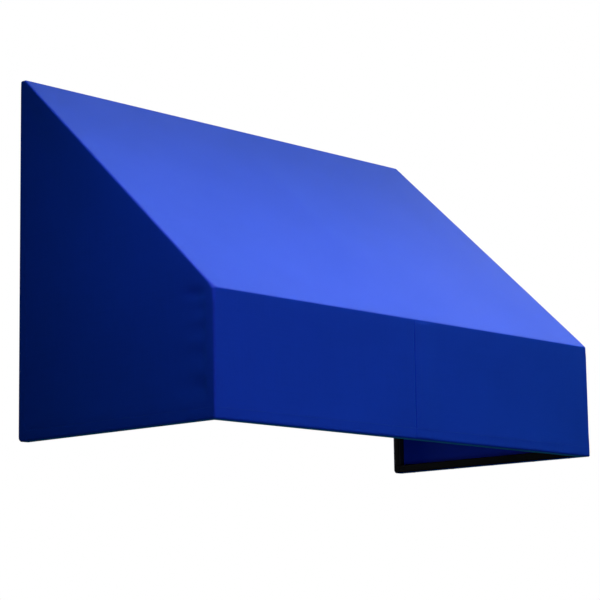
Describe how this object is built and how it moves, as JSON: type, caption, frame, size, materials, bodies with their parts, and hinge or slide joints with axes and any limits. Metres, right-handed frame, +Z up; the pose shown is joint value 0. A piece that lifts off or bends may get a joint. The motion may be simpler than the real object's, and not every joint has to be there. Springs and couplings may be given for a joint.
{
  "type": "fabric window awning",
  "caption": "Fixed window awning: a square-tube frame with a sloping cloth top, straight front valance and closed sides, screwed to a wall.",
  "frame": {"origin": "on the wall-side face of the centre header bracket, at mid-width, in the wall plane", "axes": "+Y into the wall, square to the bracket's face; +X along the wall to the right as seen from in front; +Z up; the awning projects towards -Y"},
  "size_m": [1.26, 0.596, 0.795],
  "materials": {
    "cover_cloth": "woven acrylic canvas, matt, bright blue",
    "frame_tube": "black powder coat, satin",
    "connector": "black moulded nylon",
    "bracket": "black powder coat on bent steel",
    "screw": "zinc plated"
  },
  "bodies": {
    "root": {"cover_slope_panel": "cover_cloth", "cover_valance_left": "cover_cloth", "cover_valance_right": "cover_cloth", "cover_left_wing": "cover_cloth", "cover_right_wing": "cover_cloth", "header_bar": "frame_tube", "eave_bar": "frame_tube", "front_bottom_bar": "frame_tube", "centre_rafter": "frame_tube", "centre_front_post": "frame_tube", "left_upright": "frame_tube", "left_bottom_bar": "frame_tube", "left_front_post": "frame_tube", "left_rafter": "frame_tube", "right_upright": "frame_tube", "right_bottom_bar": "frame_tube", "right_front_post": "frame_tube", "right_rafter": "frame_tube", "left_rear_top_connector": "connector", "left_eave_connector": "connector", "left_front_bottom_connector": "connector", "left_rear_bottom_connector": "connector", "right_rear_top_connector": "connector", "right_eave_connector": "connector", "right_front_bottom_connector": "connector", "right_rear_bottom_connector": "connector", "centre_rafter_top_plate": "connector", "centre_rafter_foot_plate": "connector", "centre_post_top_plate": "connector", "centre_post_foot_plate": "connector", "header_bracket_left": "bracket", "header_bracket_centre": "bracket", "header_bracket_right": "bracket", "left_lower_bracket": "bracket", "right_lower_bracket": "bracket", "header_bracket_screw_left": "screw", "header_bracket_screw_centre": "screw", "header_bracket_screw_right": "screw", "left_lower_bracket_screw": "screw", "right_lower_bracket_screw": "screw", "centre_rafter_top_screw_left": "screw", "centre_rafter_top_screw_right": "screw", "centre_rafter_foot_screw_left": "screw", "centre_rafter_foot_screw_right": "screw", "centre_post_top_screw_left": "screw", "centre_post_top_screw_right": "screw", "centre_post_foot_screw_left": "screw", "centre_post_foot_screw_right": "screw"}
  },
  "joints": []
}
